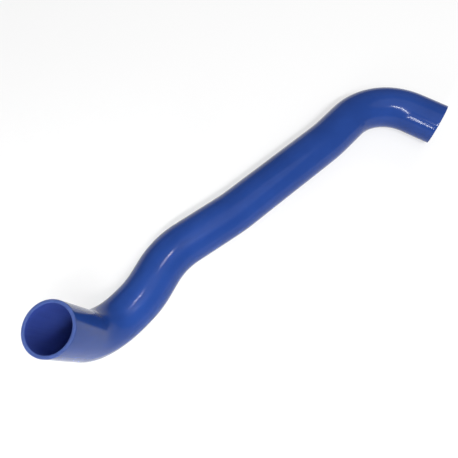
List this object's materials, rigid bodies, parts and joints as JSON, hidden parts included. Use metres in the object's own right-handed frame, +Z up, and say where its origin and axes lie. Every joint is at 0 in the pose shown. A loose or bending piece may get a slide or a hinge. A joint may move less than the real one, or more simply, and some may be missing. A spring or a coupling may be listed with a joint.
{
  "type": "silicone hose",
  "caption": "Moulded silicone hose that keeps its bends: a wide elbow at the far end, a long offset run, and a tight elbow that turns the mouth up. Fits over plain pipe ends.",
  "frame": {"origin": "bottom centre of the hose's box, on the plane that the hose lies on", "axes": "+Z up as it lies; the far leg's pipe enters along +Y; the run goes from the far elbow at +X to the raised mouth at -X"},
  "size_m": [0.59, 0.2832, 0.1524],
  "materials": {
    "blue_silicone": "glossy moulded blue silicone, the same all through, with a plainer bore and cut rims"
  },
  "bodies": {
    "root": {"hose": "blue_silicone"}
  },
  "joints": []
}
